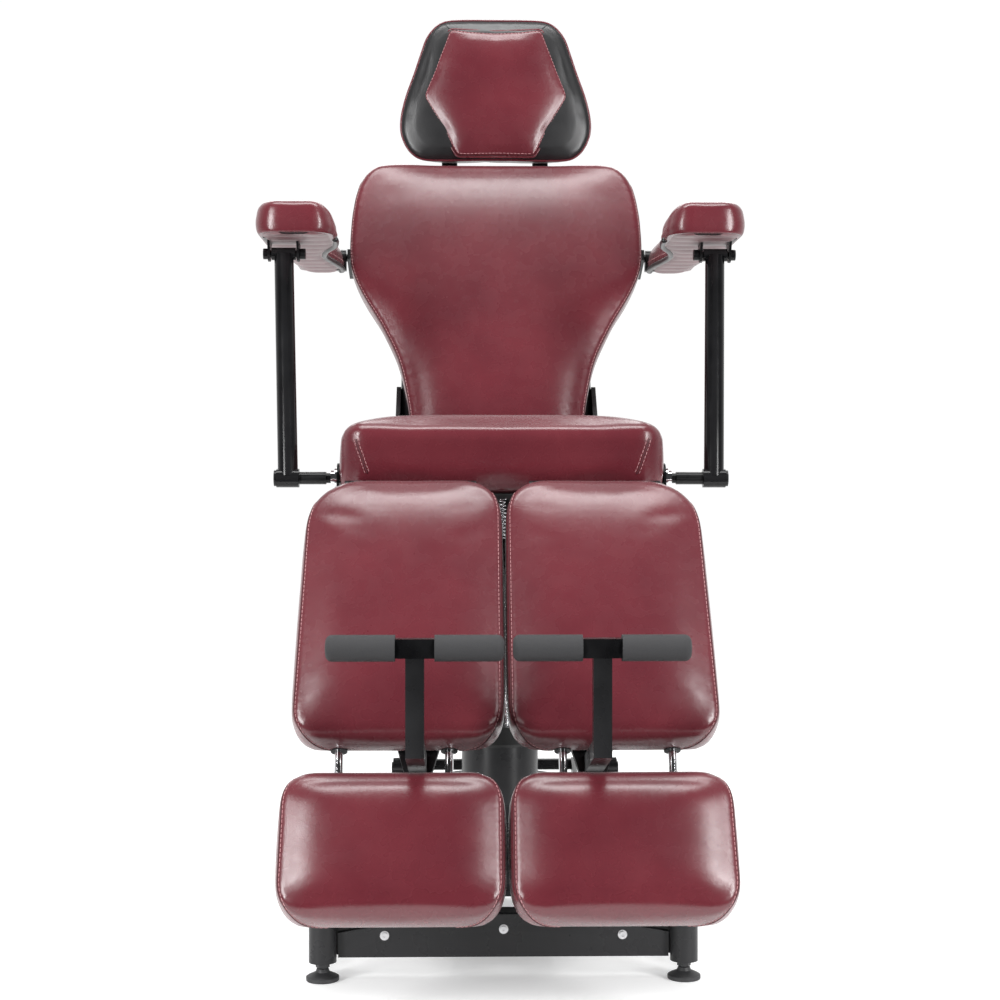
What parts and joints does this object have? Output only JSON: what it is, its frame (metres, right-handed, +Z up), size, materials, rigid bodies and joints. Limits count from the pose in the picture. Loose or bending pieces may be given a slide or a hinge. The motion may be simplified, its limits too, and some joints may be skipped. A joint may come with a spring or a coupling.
{
  "type": "reclining client chair",
  "caption": "Reclining hydraulic client chair with split leg rests, foot bars, armrests linked to the backrest, a headrest and a four-footed base.",
  "frame": {"origin": "bottom centre of the whole chair's box at rest, on the floor", "axes": "+X across the seat to the viewer's right when facing it from the front, -Y to the front, +Z up"},
  "size_m": [0.792, 1.133, 1.637],
  "materials": {
    "burgundy_leatherette": "fine pebble grain, soft sheen, over foam",
    "black_board": "black backing cloth over plywood",
    "black_steel": "semi-gloss powder coat",
    "gloss_black_tube": "gloss powder coat",
    "chrome": "polished",
    "zinc": "bright zinc",
    "bronze": "machined",
    "seal_rubber": "matte",
    "tread_aluminium": "cast, ribbed",
    "grip_foam": "matte foam",
    "black_plastic": "moulded",
    "foot_rubber": "matte"
  },
  "bodies": {
    "base": {"base_front_bar": "black_steel", "base_rear_bar": "black_steel", "base_rails": "black_steel", "pump_plate": "black_steel", "base_front_panel": "black_steel", "panel_screws": "zinc", "levelling_feet": "foot_rubber", "pump_housing": "black_steel", "pump_cylinder": "black_steel", "ram_guide_bush": "bronze", "ram_wiper_seal": "seal_rubber", "pump_bolts": "zinc", "pedal_pin": "zinc"},
    "pump_pedal": {"pedal_arms": "black_steel", "pedal_tread": "tread_aluminium"},
    "lift_ram": {"ram": "chrome"},
    "carriage": {"swivel_hub": "black_steel", "seat_side_rails": "black_steel", "seat_cross_rails": "black_steel", "seat_board": "black_board", "seat_pad": "burgundy_leatherette", "arm_mounts": "black_steel", "arm_washers": "chrome", "recline_brackets": "black_steel", "leg_hinge_ears": "black_steel"},
    "swivel_brake": {"swivel_lever": "black_steel"},
    "recline_release": {"recline_lever": "black_steel"},
    "backrest": {"back_hinge_plates": "black_steel", "back_uprights": "black_steel", "back_cross_rails": "black_steel", "back_board": "black_board", "back_pad": "burgundy_leatherette"},
    "head_bars": {"head_slider": "black_steel"},
    "headrest": {"head_bracket": "black_steel", "head_pad": "burgundy_leatherette"},
    "head_lock": {"head_lock_knob": "black_plastic"},
    "arm_link_left": {"arm_post_left": "gloss_black_tube"},
    "armrest_left": {"arm_bracket_left": "black_steel", "arm_pad_left": "burgundy_leatherette"},
    "leg_rest_left": {"leg_frame_left": "black_steel", "leg_board_left": "black_board", "leg_pad_left": "burgundy_leatherette"},
    "footrest_left": {"footrest_rods_left": "chrome", "footrest_board_left": "black_board", "footrest_pad_left": "burgundy_leatherette"},
    "foot_rail_left": {"foot_bar_left": "black_steel", "foot_bar_grips_left": "grip_foam"},
    "foot_rail_lock_left": {"foot_bar_knob_left": "black_plastic"},
    "arm_link_right": {"arm_post_right": "gloss_black_tube"},
    "armrest_right": {"arm_bracket_right": "black_steel", "arm_pad_right": "burgundy_leatherette"},
    "leg_rest_right": {"leg_frame_right": "black_steel", "leg_board_right": "black_board", "leg_pad_right": "burgundy_leatherette"},
    "footrest_right": {"footrest_rods_right": "chrome", "footrest_board_right": "black_board", "footrest_pad_right": "burgundy_leatherette"},
    "foot_rail_right": {"foot_bar_right": "black_steel", "foot_bar_grips_right": "grip_foam"},
    "foot_rail_lock_right": {"foot_bar_knob_right": "black_plastic"}
  },
  "joints": [
    {"name": "seat_height", "type": "slide", "parent": "base", "child": "lift_ram", "axis": [0, 0, 1], "range_m": [-0.12, 0.03]},
    {"name": "seat_swivel", "type": "hinge", "parent": "lift_ram", "child": "carriage", "pos_m": [0, 0.0425, 0.612], "axis": [0, 0, 1], "continuous": true},
    {"name": "pump_pedal_press", "type": "hinge", "parent": "base", "child": "pump_pedal", "pos_m": [0, 0.1305, 0.15], "axis": [-1, 0, 0], "range_deg": [0, 16], "stiffness_Nm_per_rad": 14, "springref_deg": -20.05},
    {"name": "swivel_brake_turn", "type": "hinge", "parent": "carriage", "child": "swivel_brake", "pos_m": [-0.076, 0.0425, 0.636], "axis": [0, 0, 1], "range_deg": [-25, 25]},
    {"name": "recline_release_press", "type": "hinge", "parent": "carriage", "child": "recline_release", "pos_m": [0.171, 0.1025, 0.678], "axis": [-1, 0, 0], "range_deg": [0, 22], "stiffness_Nm_per_rad": 1.5, "springref_deg": -22.92},
    {"name": "back_recline", "type": "hinge", "parent": "carriage", "child": "backrest", "pos_m": [0, 0.2825, 0.803], "axis": [-1, 0, 0], "range_deg": [0, 72]},
    {"name": "headrest_height", "type": "slide", "parent": "backrest", "child": "head_bars", "axis": [0, 0.309, 0.9511], "range_m": [0, 0.09]},
    {"name": "headrest_tilt", "type": "hinge", "parent": "head_bars", "child": "headrest", "pos_m": [0, 0.5505, 1.45], "axis": [-1, 0, 0], "range_deg": [0, 30]},
    {"name": "head_lock_turn", "type": "hinge", "parent": "backrest", "child": "head_lock", "pos_m": [0.088, 0.48957, 1.19781], "axis": [0, 0.9511, -0.309], "continuous": true},
    {"name": "arm_link_swing_left", "type": "hinge", "parent": "carriage", "child": "arm_link_left", "pos_m": [-0.341, -0.0835, 0.759], "axis": [-1, 0, 0], "range_deg": [0, 72]},
    {"name": "armrest_level_left", "type": "hinge", "parent": "backrest", "child": "armrest_left", "pos_m": [-0.288, 0.4045, 1.178], "axis": [1, 0, 0], "range_deg": [0, 72]},
    {"name": "leg_raise_left", "type": "hinge", "parent": "carriage", "child": "leg_rest_left", "pos_m": [-0.142, -0.17849, 0.74195], "axis": [-1, 0, 0], "range_deg": [0, 60]},
    {"name": "footrest_extend_left", "type": "slide", "parent": "leg_rest_left", "child": "footrest_left", "axis": [0, -0.5, -0.866], "range_m": [0, 0.11]},
    {"name": "foot_rail_slide_left", "type": "slide", "parent": "leg_rest_left", "child": "foot_rail_left", "axis": [0, -0.9659, 0.2588], "range_m": [-0.03, 0.04]},
    {"name": "foot_rail_lock_turn_left", "type": "hinge", "parent": "leg_rest_left", "child": "foot_rail_lock_left", "pos_m": [-0.145, -0.33079, 0.33261], "axis": [-1, 0, 0], "continuous": true},
    {"name": "arm_link_swing_right", "type": "hinge", "parent": "carriage", "child": "arm_link_right", "pos_m": [0.341, -0.0835, 0.759], "axis": [-1, 0, 0], "range_deg": [0, 72]},
    {"name": "armrest_level_right", "type": "hinge", "parent": "backrest", "child": "armrest_right", "pos_m": [0.288, 0.4045, 1.178], "axis": [1, 0, 0], "range_deg": [0, 72]},
    {"name": "leg_raise_right", "type": "hinge", "parent": "carriage", "child": "leg_rest_right", "pos_m": [0.142, -0.17849, 0.74195], "axis": [-1, 0, 0], "range_deg": [0, 60]},
    {"name": "footrest_extend_right", "type": "slide", "parent": "leg_rest_right", "child": "footrest_right", "axis": [0, -0.5, -0.866], "range_m": [0, 0.11]},
    {"name": "foot_rail_slide_right", "type": "slide", "parent": "leg_rest_right", "child": "foot_rail_right", "axis": [0, -0.9659, 0.2588], "range_m": [-0.03, 0.04]},
    {"name": "foot_rail_lock_turn_right", "type": "hinge", "parent": "leg_rest_right", "child": "foot_rail_lock_right", "pos_m": [0.145, -0.33079, 0.33261], "axis": [1, 0, 0], "continuous": true}
  ],
  "couplings": [
    {"joint": "arm_link_swing_left", "follows": "back_recline", "ratio": 1},
    {"joint": "armrest_level_left", "follows": "back_recline", "ratio": 1},
    {"joint": "arm_link_swing_right", "follows": "back_recline", "ratio": 1},
    {"joint": "armrest_level_right", "follows": "back_recline", "ratio": 1}
  ]
}
